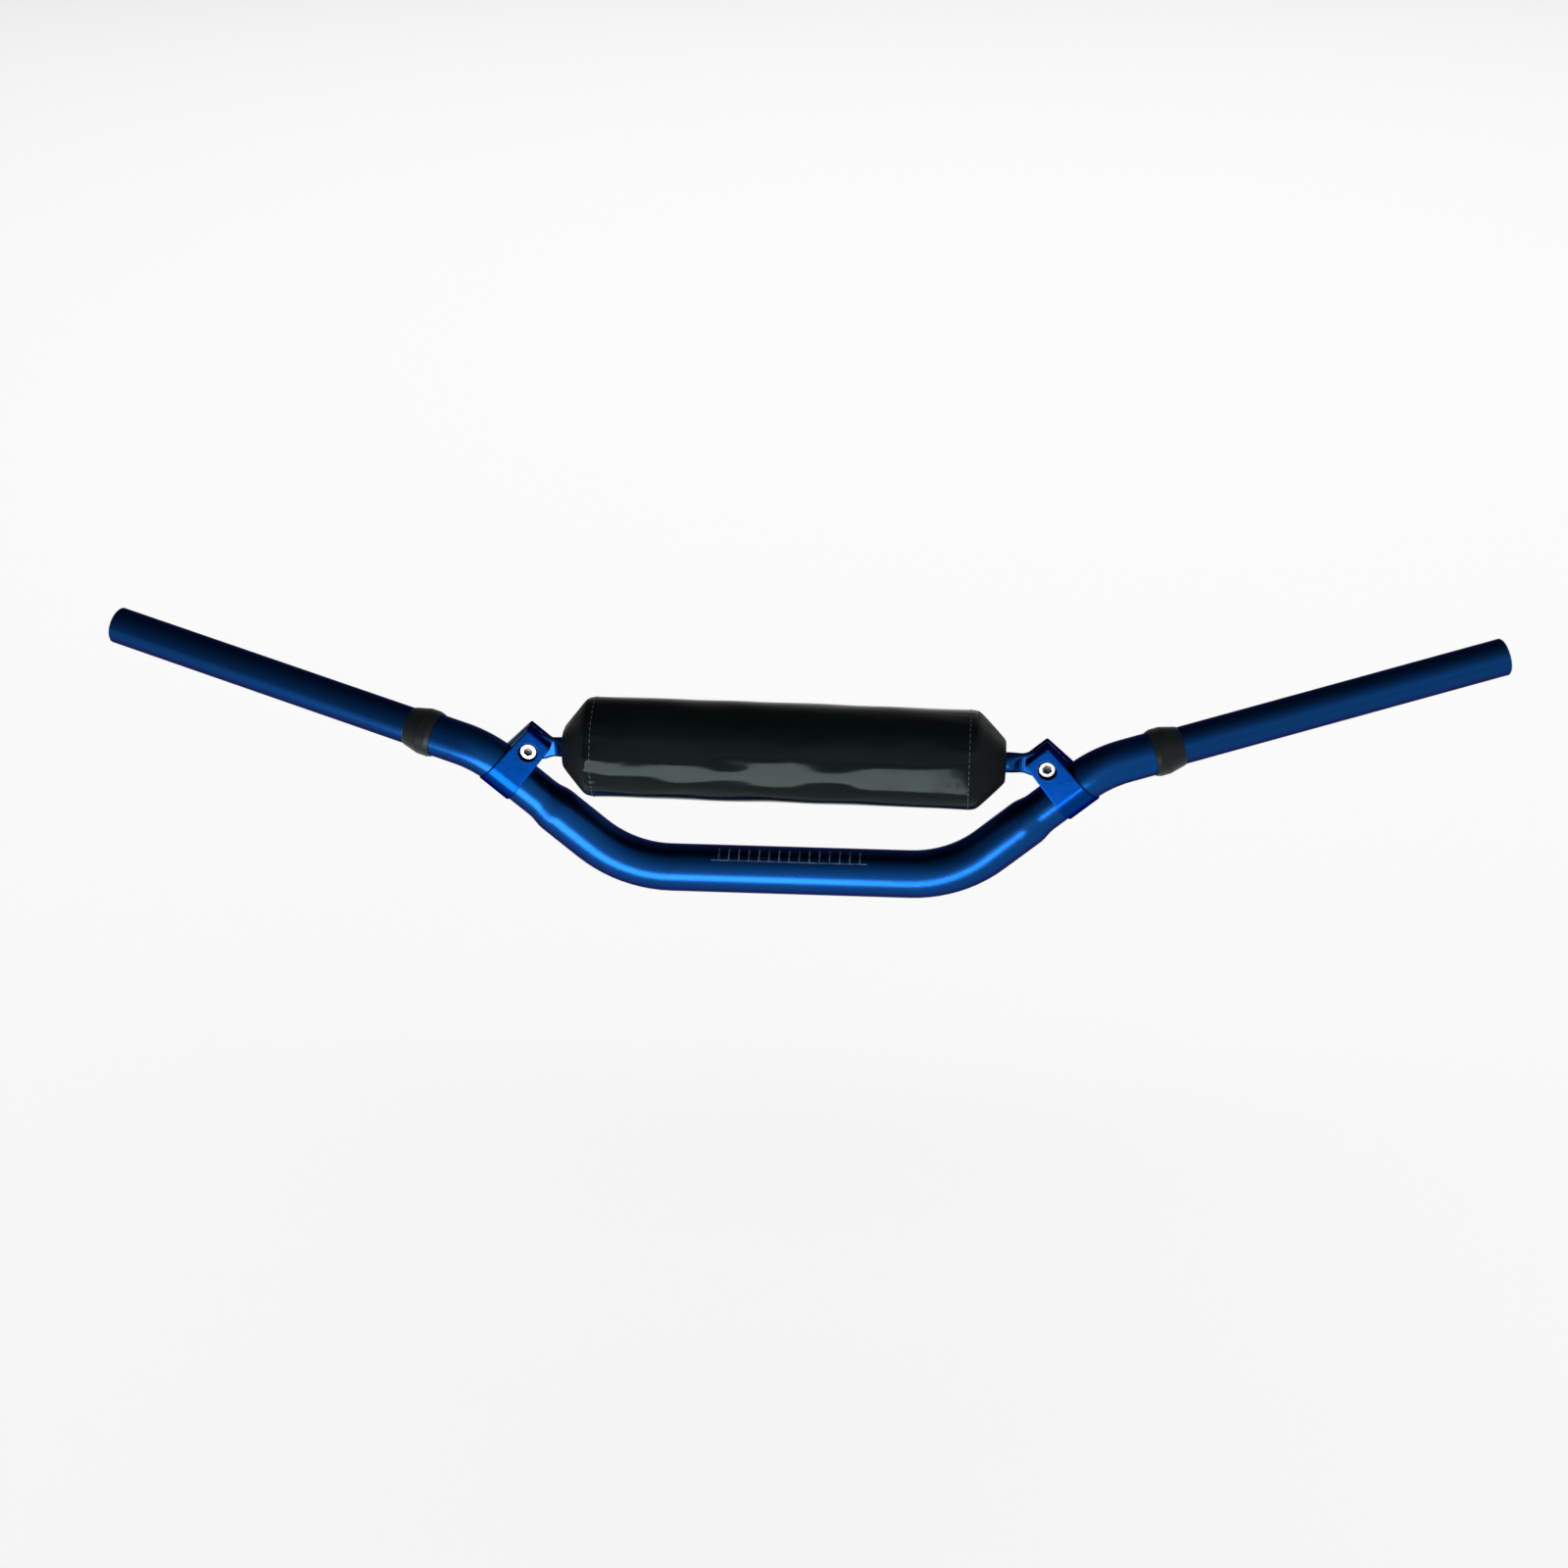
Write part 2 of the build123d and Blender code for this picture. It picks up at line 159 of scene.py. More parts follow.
# Camera and light
def set_camera():
    back = Vector((math.sin(CAMERA_YAW) * math.cos(CAMERA_ELEVATION),
                   -math.cos(CAMERA_YAW) * math.cos(CAMERA_ELEVATION), math.sin(CAMERA_ELEVATION)))
    right = (-back).cross(Vector((0, 0, 1))).normalized()
    up = right.cross(-back).normalized()
    side = math.cos(CAMERA_ROLL) * right + math.sin(CAMERA_ROLL) * up
    top = -math.sin(CAMERA_ROLL) * right + math.cos(CAMERA_ROLL) * up
    data = bpy.data.cameras.new("camera")
    data.sensor_width = SENSOR_MM
    data.sensor_fit = "HORIZONTAL"
    data.lens = CAMERA_FOCAL_PX / IMAGE_PX * SENSOR_MM
    data.clip_start, data.clip_end = 0.05, 60.0
    camera = new_object("camera", data)
    turn = Matrix((side, top, back)).transposed()
    camera.matrix_world = Matrix.Translation(CAMERA_TARGET + back * CAMERA_DISTANCE) @ turn.to_4x4()
    bpy.context.scene.camera = camera


def lamp(name, place, aim, width, depth, level, glossy=True):
    """A rectangular lamp whose face has this brightness."""
    data = bpy.data.lights.new(name, "AREA")
    data.shape = "RECTANGLE"
    data.size, data.size_y = width, depth
    data.energy = level * math.pi * width * depth
    made = new_object(name, data)
    made.location = place
    made.rotation_euler = (Vector(aim) - Vector(place)).to_track_quat("-Z", "Y").to_euler()
    made.visible_glossy = glossy
    made.visible_camera = False


def sky_ramp(tree, height, stops):
    """Grey levels of the room by height."""
    ramp = tree.nodes.new("ShaderNodeValToRGB")
    elements = ramp.color_ramp.elements
    for place, level in stops[2:]:
        elements.new(place)
    for element, (place, level) in zip(elements, stops):
        element.position = place
        element.color = (level, level, level, 1)
    tree.links.new(height, ramp.inputs["Fac"])
    return ramp.outputs["Color"]


def sky_step(tree, value, limits, low=0.0):
    """A smooth step from low to 1 between two limits of this value."""
    step = tree.nodes.new("ShaderNodeMapRange")
    step.interpolation_type = "SMOOTHSTEP"
    step.inputs["From Min"].default_value, step.inputs["From Max"].default_value = limits
    step.inputs["To Min"].default_value = low
    tree.links.new(value, step.inputs["Value"])
    return step.outputs[0]


def set_room():
    """A plain room, brighter towards the floor in front and dimmer on its left."""
    world = bpy.data.worlds.new("studio")
    bpy.context.scene.world = world
    world.use_nodes = True
    tree = world.node_tree
    split = tree.nodes.new("ShaderNodeSeparateXYZ")
    tree.links.new(tree.nodes.new("ShaderNodeTexCoord").outputs["Generated"], split.inputs[0])
    blend = tree.nodes.new("ShaderNodeMix")
    blend.data_type = "RGBA"
    tree.links.new(sky_step(tree, split.outputs["Y"], SKY_TURN), blend.inputs["Factor"])
    tree.links.new(sky_ramp(tree, split.outputs["Z"], SKY_FRONT), blend.inputs[6])
    tree.links.new(sky_ramp(tree, split.outputs["Z"], SKY_REAR), blend.inputs[7])
    background = tree.nodes["Background"]
    tree.links.new(blend.outputs[2], background.inputs["Color"])
    strength = sky_step(tree, split.outputs["X"], SKY_DIM, SKY_LEFT_SHARE)
    tree.links.new(strength, background.inputs["Strength"])


def set_lamps():
    place = ((SOFTBOX_LEFT + SOFTBOX_RIGHT) / 2, (SOFTBOX_NEAR + SOFTBOX_FAR) / 2,
             FLOOR_Z + SOFTBOX_OVER_FLOOR)
    lamp("low_softbox", place, (place[0], place[1], 1), SOFTBOX_RIGHT - SOFTBOX_LEFT,
         SOFTBOX_NEAR - SOFTBOX_FAR, SOFTBOX_LEVEL)
    lamp("top_light", TOP_PLACE, TOP_AIM, TOP_WIDTH, TOP_DEPTH, TOP_LEVEL, glossy=False)


def set_floor():
    half = FLOOR_HALF
    corners = [(x, y, FLOOR_Z) for x, y in ((-half, -half), (half, -half), (half, half), (-half, half))]
    mesh = bpy.data.meshes.new("floor")
    mesh.from_pydata(corners, [], [(0, 1, 2, 3)])
    mesh.materials.append(floor_material())
    new_object("floor", mesh)


def floor_material():
    finish = Finish("floor", FLOOR_COLOR, 0.9)
    finish.set("Specular IOR Level", 0.0)
    path = finish.nodes.new("ShaderNodeLightPath")
    seen = finish.math("MAXIMUM", path.outputs["Is Camera Ray"], path.outputs["Is Glossy Ray"])
    seen = finish.math("MAXIMUM", seen, path.outputs["Is Transmission Ray"])
    glow = finish.nodes.new("ShaderNodeEmission")
    glow.inputs["Color"].default_value = (1, 1, 1, 1)
    finish.links.new(finish.math("MULTIPLY", seen, FLOOR_GLOW), glow.inputs["Strength"])
    both = finish.nodes.new("ShaderNodeAddShader")
    finish.links.new(finish.shader.outputs[0], both.inputs[0])
    finish.links.new(glow.outputs[0], both.inputs[1])
    finish.links.new(both.outputs[0], finish.nodes["Material Output"].inputs["Surface"])
    return finish.material


# Materials
class Finish:
    """One procedural material, with its Principled shader and small helpers."""

    def __init__(self, name, color, rough, metal=0.0):
        self.material = bpy.data.materials.new(name)
        self.material.use_nodes = True
        self.nodes = self.material.node_tree.nodes
        self.links = self.material.node_tree.links
        self.shader = self.nodes["Principled BSDF"]
        self.set("Base Color", color + (1,))
        self.set("Roughness", rough)
        self.set("Metallic", metal)
        self.coord = self.nodes.new("ShaderNodeTexCoord").outputs["Object"]

    def set(self, socket, value):
        self.shader.inputs[socket].default_value = value

    def feed(self, socket, value):
        self.links.new(value, self.shader.inputs[socket])

    def mapped(self, scale):
        node = self.nodes.new("ShaderNodeMapping")
        node.inputs["Scale"].default_value = scale
        self.links.new(self.coord, node.inputs["Vector"])
        return node.outputs["Vector"]

    def axes(self, origin=(0, 0, 0)):
        """The place's x, y and z from this origin, in metres."""
        node = self.nodes.new("ShaderNodeMapping")
        node.inputs["Location"].default_value = tuple(-c for c in origin)
        self.links.new(self.coord, node.inputs["Vector"])
        split = self.nodes.new("ShaderNodeSeparateXYZ")
        self.links.new(node.outputs["Vector"], split.inputs[0])
        return tuple(split.outputs)

    def noise(self, scale, detail=4.0, rough=0.55, vector=None):
        node = self.nodes.new("ShaderNodeTexNoise")
        node.inputs["Scale"].default_value = scale
        node.inputs["Detail"].default_value = detail
        node.inputs["Roughness"].default_value = rough
        self.links.new(vector or self.coord, node.inputs["Vector"])
        return node.outputs["Fac"]

    def spread(self, value, low, high, start=0.3, end=0.7):
        node = self.nodes.new("ShaderNodeMapRange")
        node.inputs["From Min"].default_value = start
        node.inputs["From Max"].default_value = end
        node.inputs["To Min"].default_value = low
        node.inputs["To Max"].default_value = high
        self.links.new(value, node.inputs["Value"])
        return node.outputs["Result"]

    def math(self, operation, *values):
        node = self.nodes.new("ShaderNodeMath")
        node.operation = operation
        for socket, value in zip(node.inputs, values):
            if isinstance(value, (int, float)):
                socket.default_value = value
            else:
                self.links.new(value, socket)
        return node.outputs[0]

    def mix(self, factor, a, b):
        node = self.nodes.new("ShaderNodeMix")
        node.data_type = "RGBA"
        self.links.new(factor, node.inputs["Factor"])
        for socket, value in ((6, a), (7, b)):
            if isinstance(value, tuple):
                node.inputs[socket].default_value = value + (1,)
            else:
                self.links.new(value, node.inputs[socket])
        return node.outputs[2]

    def tint(self, value, dark, light, start=0.3, end=0.7):
        """Base colour from dark to light as the value goes from start to end."""
        self.feed("Base Color", self.mix(self.spread(value, 0, 1, start, end), dark, light))

    def bump(self, height, strength, distance, normal=None):
        node = self.nodes.new("ShaderNodeBump")
        node.inputs["Strength"].default_value = strength
        node.inputs["Distance"].default_value = distance * MM
        self.links.new(height, node.inputs["Height"])
        if normal is not None:
            self.links.new(normal, node.inputs["Normal"])
        self.feed("Normal", node.outputs[0])
        return node.outputs[0]

    def rounded(self, radius):
        """A normal that rounds the sharp edges."""
        bevel = self.nodes.new("ShaderNodeBevel")
        bevel.samples = 6
        bevel.inputs["Radius"].default_value = radius * MM
        return bevel.outputs[0]

    def edge_mask(self, rounded):
        """One on the sharp edges, where the rounded normal leaves the face's own."""
        flat = self.nodes.new("ShaderNodeNewGeometry").outputs["Normal"]
        dot = self.nodes.new("ShaderNodeVectorMath")
        dot.operation = "DOT_PRODUCT"
        self.links.new(rounded, dot.inputs[0])
        self.links.new(flat, dot.inputs[1])
        return self.spread(dot.outputs["Value"], 1.0, 0.0, start=0.86, end=0.985)


def scaled(color, factor):
    return tuple(c * factor for c in color)


def anodised(name, base=ANODISED, rough=0.27, round_edge=0.3, wear_and_glint=0.5, coat=0.08, marks=False):
    """Blue anodised metal, brushed along the bar, worn down to bare metal at its edges. The pale edges are
    partly a painted highlight, most of all on the clamps.
    """
    finish = Finish(name, base, rough, metal=1.0)
    finish.set("Specular Tint", (0.1, 0.2, 0.24, 1))
    finish.set("Coat Weight", coat)
    finish.set("Coat Roughness", 0.28)
    blotch = finish.spread(finish.noise(9.0, detail=3.0), 0.0, 1.0)
    color = finish.mix(blotch, scaled(base, 0.92), scaled(base, 1.06))
    rounded = finish.rounded(round_edge)
    rubbed_and_glint = finish.spread(finish.noise(160.0, detail=4.0, rough=0.65), 0.0, wear_and_glint, start=0.42, end=0.66)
    # bare metal on worn edges, partly a painted highlight along them
    color = finish.mix(finish.math("MULTIPLY", finish.edge_mask(rounded), rubbed_and_glint), color, BARE_AND_GLINT)
    if marks:
        drawn = scale_marks(finish)
        color = finish.mix(drawn, color, MARK)
        finish.feed("Metallic", finish.spread(drawn, 1.0, 0.1, start=0.0, end=1.0))
    finish.feed("Base Color", color)
    grain = finish.noise(1.0, detail=3.0, rough=0.6, vector=finish.mapped((90, 1400, 1400)))
    finish.feed("Roughness", finish.spread(grain, rough - 0.04, rough + 0.05))
    pores = finish.bump(finish.noise(2600.0, detail=2.0), strength=0.05, distance=0.03, normal=rounded)
    finish.bump(grain, strength=0.03, distance=0.03, normal=pores)
    return finish.material


def scale_marks(finish):
    """A faint lasered alignment scale over the middle of the tube: a base line and plain ticks."""
    x, y, z = finish.axes()
    angle = finish.math("ARCTAN2", z, finish.math("MULTIPLY", y, -1.0))
    arc = finish.math("MULTIPLY", angle, TUBE_RADIUS)
    along = finish.math("MULTIPLY", x, 1 / MM)
    inside = finish.math("LESS_THAN", finish.math("ABSOLUTE", along), SCALE_HALF)
    tick = finish.math("LESS_THAN", finish.math("PINGPONG", along, SCALE_PITCH / 2), TICK_HALF)
    tall = finish.math("MULTIPLY", finish.math("GREATER_THAN", arc, SCALE_LOW),
                       finish.math("LESS_THAN", arc, SCALE_LOW + SCALE_TALL))
    from_line = finish.math("ABSOLUTE", finish.math("SUBTRACT", arc, SCALE_LOW))
    line = finish.math("LESS_THAN", from_line, LINE_HALF)
    drawn = finish.math("MAXIMUM", finish.math("MULTIPLY", tick, tall), line)
    worn = finish.spread(finish.noise(260.0, detail=3.0), 0.35, 0.85, start=0.35, end=0.6)
    return finish.math("MULTIPLY", finish.math("MULTIPLY", drawn, inside), worn)


def nylon(name):
    finish = Finish(name, (0.004, 0.006, 0.0075), 0.42)
    finish.set("Specular IOR Level", 0.17)
    finish.tint(finish.noise(60.0, detail=3.0), (0.003, 0.0048, 0.006), (0.005, 0.0075, 0.009))
    finish.feed("Roughness", finish.spread(finish.noise(180.0), 0.36, 0.47))
    finish.bump(finish.noise(1500.0, detail=3.0), strength=0.25, distance=0.06)
    return finish.material


def plated(name, socket_at=None):
    """Zinc plate. socket_at is the x, y, z of a bolt's face, where its socket is painted dark as shade."""
    finish = Finish(name, (0.5, 0.51, 0.52), 0.3, metal=1.0)
    tone = finish.spread(finish.noise(400.0, detail=3.0), 0, 1)
    color = finish.mix(tone, (0.30, 0.31, 0.32), (0.42, 0.43, 0.44))
    if socket_at:
        # the socket is painted dark: painted shade in the recess
        color = finish.mix(socket_painted_shade(finish, socket_at), color, SOCKET_SHADE)
    finish.feed("Base Color", color)
    finish.feed("Roughness", finish.spread(finish.noise(700.0), 0.24, 0.36))
    finish.bump(finish.noise(1800.0, detail=2.0), strength=0.1, distance=0.04, normal=finish.rounded(0.25))
    return finish.material


def socket_painted_shade(finish, socket_at):
    """Painted shade: one inside the bolt's socket, fading out towards its mouth."""
    x, y, z = finish.axes(socket_at)
    squares = finish.math("ADD", finish.math("POWER", x, 2.0), finish.math("POWER", z, 2.0))
    inside = finish.math("LESS_THAN", finish.math("SQRT", squares), SOCKET_RADIUS * MM)
    deep = finish.spread(y, 0.0, 1.0, start=SHADE_STARTS * MM, end=SHADE_FULL * MM)
    return finish.math("MULTIPLY", inside, deep)


def vinyl(name):
    """The glossy cover, with slow ripples and a fine leather grain."""
    finish = Finish(name, (0.0018, 0.003, 0.003), 0.14)
    finish.set("Specular IOR Level", 0.11)
    finish.set("Specular Tint", (0.78, 0.98, 1.0, 1))
    finish.tint(finish.noise(25.0), (0.001, 0.002, 0.002), (0.0022, 0.004, 0.004))
    finish.feed("Roughness", finish.spread(finish.noise(55.0, detail=5.0), 0.09, 0.17))
    ripple = finish.bump(finish.noise(38.0, detail=3.0), strength=0.32, distance=0.6)
    finish.bump(finish.noise(900.0, detail=3.0), strength=0.12, distance=0.08, normal=ripple)
    return finish.material


def panel(name):
    """The duller woven-backed panels that close the ends of the pad."""
    finish = Finish(name, (0.002, 0.0028, 0.0034), 0.5)
    finish.set("Specular IOR Level", 0.07)
    finish.tint(finish.noise(40.0), (0.002, 0.003, 0.0036), (0.0042, 0.0056, 0.0068))
    finish.feed("Roughness", finish.spread(finish.noise(90.0), 0.42, 0.6))
    weave = finish.noise(1.0, detail=2.0, rough=0.5, vector=finish.mapped((2400, 2400, 2400)))
    crease = finish.bump(finish.noise(70.0, detail=3.0), strength=0.2, distance=0.6)
    finish.bump(weave, strength=0.2, distance=0.08, normal=crease)
    return finish.material


def foam(name):
    finish = Finish(name, (0.05, 0.05, 0.052), 0.95)
    cell = finish.nodes.new("ShaderNodeTexVoronoi")
    cell.inputs["Scale"].default_value = 1200.0
    finish.links.new(finish.coord, cell.inputs["Vector"])
    wall = cell.outputs["Distance"]
    finish.tint(wall, (0.03, 0.03, 0.032), (0.065, 0.065, 0.068), start=0.1, end=0.6)
    finish.bump(wall, strength=0.5, distance=0.3)
    return finish.material


def tape(name):
    """Both halves of the hook-and-loop closure."""
    finish = Finish(name, (0.02, 0.02, 0.02), 0.85)
    weave = finish.noise(1.0, detail=3.0, rough=0.6, vector=finish.mapped((900, 900, 2600)))
    finish.tint(weave, (0.012, 0.012, 0.012), (0.03, 0.03, 0.031))
    finish.bump(weave, strength=0.5, distance=0.4)
    return finish.material


def thread(name):
    finish = Finish(name, (0.03, 0.031, 0.033), 0.6)
    ply = finish.noise(1.0, detail=2.0, rough=0.5, vector=finish.mapped((3000, 3000, 3000)))
    finish.tint(ply, (0.02, 0.021, 0.022), (0.05, 0.051, 0.053))
    finish.bump(ply, strength=0.4, distance=0.1)
    return finish.material


# Pieces of the CAD that keep their shape
def dress_node(node, material):
    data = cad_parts[node].data
    data.materials.clear()
    data.materials.append(material)


def bolt_face(node):
    """The middle of the bolt's front."""
    low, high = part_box(node)
    return ((low[0] + high[0]) / 2, low[1], (low[2] + high[2]) / 2)


def dress_hard_parts():
    dress_node("outer_tube", anodised("blue_anodised_marked", marks=True))
    dress_node("crossbar", anodised("blue_anodised"))
    # the grips get a darker copy of the blue as painted shade
    dress_node("inner_tube", anodised("blue_anodised_grip", scaled(ANODISED, GRIP_SHADE), rough=0.3))
    # the clamps' strongly worn edges are partly a painted highlight along them
    clamp_blue = anodised("blue_anodised_clamp", CLAMP_BLUE, rough=0.2, round_edge=0.5, wear_and_glint=0.9, coat=0.0)
    collar_black = nylon("collar_nylon")
    zinc = plated("zinc_plate")
    for side in ("left", "right"):
        bolt = "clamp_bolt_" + side
        dress_node("crossbar_clamp_" + side, clamp_blue)
        dress_node("end_collar_" + side, collar_black)
        dress_node(bolt, plated("zinc_plate_bolt_" + side, bolt_face(bolt)))
        dress_node("clamp_nut_" + side, zinc)


# Pad: a sewn vinyl cover, crowned over its foam, pulled in at the end seams
def pad_point(x, y, z):
    """From the pad's own axes to the frame, in metres."""
    c, d = math.cos(PAD_TILT), math.sin(PAD_TILT)
    middle_x, middle_y, middle_z = PAD_MIDDLE
    return Vector((middle_x + x * c - z * d, middle_y + y, middle_z + PAD_LIFT + x * d + z * c)) * MM


def outline(size, corner, places):
    """Points and outward directions at these fractions of a rounded square's outline."""
    half = size / 2
    flat = half - corner
    side, quarter = 2 * flat, math.pi * corner / 2
    points = []
    for fraction in places:
        k, t = divmod(fraction * 4 * (side + quarter), side + quarter)
        if t < side:
            p, n = (half, -flat + t), (1.0, 0.0)
        else:
            a = (t - side) / corner
            n = (math.cos(a), math.sin(a))
            p = (flat + corner * n[0], flat + corner * n[1])
        c, d = math.cos(k * math.pi / 2), math.sin(k * math.pi / 2)
        points.append((p[0] * c - p[1] * d, p[0] * d + p[1] * c,
                       n[0] * c - n[1] * d, n[0] * d + n[1] * c))
    return points


def places_around():
    """Fractions of the outline, with two close together where the outer flap ends."""
    even = [(i + 0.5) / AROUND for i in range(AROUND)]
    clear = [p for p in even if abs(p - FLAP_AT) > 2.5 * FLAP_STEP]
    return sorted(clear + [FLAP_AT - FLAP_STEP, FLAP_AT + FLAP_STEP])


def end_stations(end, bevel):
    """x, share of the end section, rise, and seam or not, for the rings of one end panel."""
    stations = []
    for i in range(END_STEPS):
        t = i / END_STEPS
        stations.append((end + bevel * t, 1 - t, END_BULGE * math.sin(math.pi * t), i == 0))
    return stations


def body_stations():
    """The same four values for the rings between the end seams."""
    stations = []
    for i in range(BODY_STEPS + 1):
        x = SEAM_LEFT + (SEAM_RIGHT - SEAM_LEFT) * i / BODY_STEPS
        edge = min(x - SEAM_LEFT, SEAM_RIGHT - x)
        stations.append((x, 0.0, -SEAM_DEPTH * math.exp(-edge / SEAM_REACH), i in (0, BODY_STEPS)))
    return stations


def cover_lift(place, spot, x, share, rise):
    """How far the cover stands off its plain outline here."""
    across = (x - PAD_LEFT) / (PAD_RIGHT - PAD_LEFT)
    full = PAD_BULGE_LEFT + (PAD_BULGE_RIGHT - PAD_BULGE_LEFT) * across
    from_middle = min(abs(spot[0]), abs(spot[1]))
    lift = rise + full * (1 - share) * math.cos(math.pi * min(from_middle / (2 * BULGE_HALF), 0.5)) ** 2
    if share == 0.0 and place < FLAP_AT:
        lift += FLAP_RISE
    elif share == 0.0:
        lift -= FLAP_DROP * math.exp(-(place - FLAP_AT) * OUTLINE_LENGTH / FLAP_DROP_REACH)
    return lift


def ring_faces(first, second, count):
    """Faces between two rings of points, which start at these numbers."""
    faces = []
    for i in range(count):
        k = (i + 1) % count
        faces.append((first + i, first + k, second + k, second + i))
    return faces


def smooth_mesh(name, points, faces):
    """A mesh whose faces look outwards and are shaded smooth."""
    mesh = bpy.data.meshes.new(name)
    mesh.from_pydata(points, [], faces)
    turned = bmesh.new()
    turned.from_mesh(mesh)
    bmesh.ops.recalc_face_normals(turned, faces=turned.faces)
    turned.to_mesh(mesh)
    turned.free()
    for polygon in mesh.polygons:
        polygon.use_smooth = True
    return mesh


def add_end_cap(points, faces, pins, small, x, outward, last):
    """Close one end of the cover in to the bar, from its last ring."""
    rim = BAR_RADIUS + BAR_CLEARANCE
    count = len(small)
    for share, stands in CAP_RINGS:
        start = len(points)
        for spot in small:
            angle = math.atan2(spot[1], spot[0])
            y = spot[0] * (1 - share) + rim * math.cos(angle) * share
            z = spot[1] * (1 - share) + rim * math.sin(angle) * share
            if share > CAP_HELD:
                pins.append(len(points))
            points.append(pad_point(x + outward * stands, y, z))
        faces += ring_faces(last, start, count)
        last = start


def cover_mesh():
    """The cover as cut, and the points that its seams and the bar hold."""
    places = places_around()
    count = len(places)
    stations = end_stations(PAD_LEFT, PAD_BEVEL_LEFT) + body_stations()
    stations += reversed(end_stations(PAD_RIGHT, -PAD_BEVEL_RIGHT))
    big = outline(PAD_SIZE - COVER_UNDERSIZE, PAD_CORNER, places)
    small = outline(PAD_END_SIZE, PAD_END_CORNER, places)
    points, faces, pins = [], [], []
    for x, share, rise, seam in stations:
        for place, a, b in zip(places, big, small):
            lift = cover_lift(place, a, x, share, rise)
            y = a[0] * (1 - share) + b[0] * share + a[2] * lift
            z = a[1] * (1 - share) + b[1] * share + a[3] * lift
            z += PAD_CROWN * (1 - share) * max(0.0, a[3])
            if seam or abs(place - FLAP_AT) < 1.5 * FLAP_STEP:
                pins.append(len(points))
            points.append(pad_point(x, y, z))
    last_ring = len(stations) - 1
    for j in range(last_ring):
        faces += ring_faces(j * count, (j + 1) * count, count)
    add_end_cap(points, faces, pins, small, PAD_LEFT, -1, 0)
    add_end_cap(points, faces, pins, small, PAD_RIGHT, 1, last_ring * count)
    mesh = smooth_mesh("pad_shell", points, faces)
    for polygon in mesh.polygons:
        on_body = END_STEPS <= polygon.index // count < last_ring - END_STEPS
        polygon.material_index = 0 if on_body else 1
    return mesh, pins


def swell(piece, pins):
    """Blow the cover up a little as cloth, with its seams held, and keep the shape."""
    mesh = piece.data
    rest = [v.co.copy() for v in mesh.vertices]
    group = piece.vertex_groups.new(name="pins")
    group.add(pins, 1.0, "REPLACE")
    cloth = piece.modifiers.new("cloth", "CLOTH")
    settings = cloth.settings
    settings.quality = 8
    settings.mass = 0.2
    settings.tension_stiffness = settings.compression_stiffness = 25.0
    settings.shear_stiffness = 12.0
    settings.bending_stiffness = 0.6
    settings.use_pressure = True
    settings.uniform_pressure_force = CLOTH_PRESSURE
    settings.effector_weights.gravity = 0.0
    settings.vertex_group_mass = "pins"
    cloth.point_cache.frame_start, cloth.point_cache.frame_end = 1, CLOTH_FRAMES
    scene = bpy.context.scene
    for frame_number in range(1, CLOTH_FRAMES + 1):
        scene.frame_set(frame_number)
    graph = bpy.context.evaluated_depsgraph_get()
    moved = [v.co.copy() for v in piece.evaluated_get(graph).data.vertices]
    piece.modifiers.remove(cloth)
    piece.vertex_groups.remove(group)
    scene.frame_set(1)
    cap = CLOTH_CAP * MM
    for vertex, old, new in zip(mesh.vertices, rest, moved):
        shift = new - old
        if shift.length > cap:
            shift *= cap / shift.length
        vertex.co = old + shift


def wave(where, waves, offset=Vector((0, 0, 0))):
    """Fixed noise at a place in millimetres, with so many waves per millimetre along each axis."""
    return noise.noise(Vector((where.x * waves[0], where.y * waves[1], where.z * waves[2])) + offset)


def gather(mesh):
    """Puckers at the end seams and slack in the long faces."""
    normals = [v.normal.copy() for v in mesh.vertices]
    for vertex, normal in zip(mesh.vertices, normals):
        if abs(normal.x) > FACES_ALONG:
            continue
        where = vertex.co * (1 / MM)
        x = vertex.co.x / MM - PAD_MIDDLE[0]
        near = min(abs(x - SEAM_LEFT), abs(x - SEAM_RIGHT))
        on_body = SEAM_LEFT < x < SEAM_RIGHT
        reach = PUCKER_REACH_BODY if on_body else PUCKER_REACH_END
        size = PUCKER_LEFT if x < 0 else PUCKER_RIGHT
        size *= math.exp(-near / reach) * (1 - math.exp(-near / PUCKER_START))
        size *= 1.0 if on_body else PUCKER_END_SHARE
        slack = SLACK_BODY if on_body else SLACK_END
        move = size * wave(where, PUCKER_WAVES) + slack * wave(where, SLACK_WAVES, SLACK_OFFSET)
        vertex.co += normal * move * MM


def make_cover():
    mesh, pins = cover_mesh()
    cover = new_object("pad_shell", mesh)
    swell(cover, pins)
    gather(mesh)
    smooth = cover.modifiers.new("smooth", "SUBSURF")
    smooth.levels = smooth.render_levels = 1
    mesh.materials.append(vinyl("pad_vinyl"))
    mesh.materials.append(panel("pad_panel"))
    return cover


def make_foam():
    """The foam core of the CAD, drawn in at both ends so that the cover closes over it."""
    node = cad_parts["pad_foam"]
    mesh = node.data.copy()
    mesh.transform(node.matrix_world)
    low, high = (corner[0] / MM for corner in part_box("pad_foam"))
    left, right = PAD_LEFT + FOAM_INSET + PAD_MIDDLE[0], PAD_RIGHT - FOAM_INSET + PAD_MIDDLE[0]
    for vertex in mesh.vertices:
        x = vertex.co.x / MM
        if x < -FOAM_KEPT:
            vertex.co.x = (-FOAM_KEPT + (x + FOAM_KEPT) * (left + FOAM_KEPT) / (low + FOAM_KEPT)) * MM
        elif x > FOAM_KEPT:
            vertex.co.x = (FOAM_KEPT + (x - FOAM_KEPT) * (right - FOAM_KEPT) / (high - FOAM_KEPT)) * MM
    mesh.materials.clear()
    mesh.materials.append(foam("pad_foam"))
    core = new_object("pad_core", mesh)
    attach(core, "root")
    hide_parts("pad_foam")


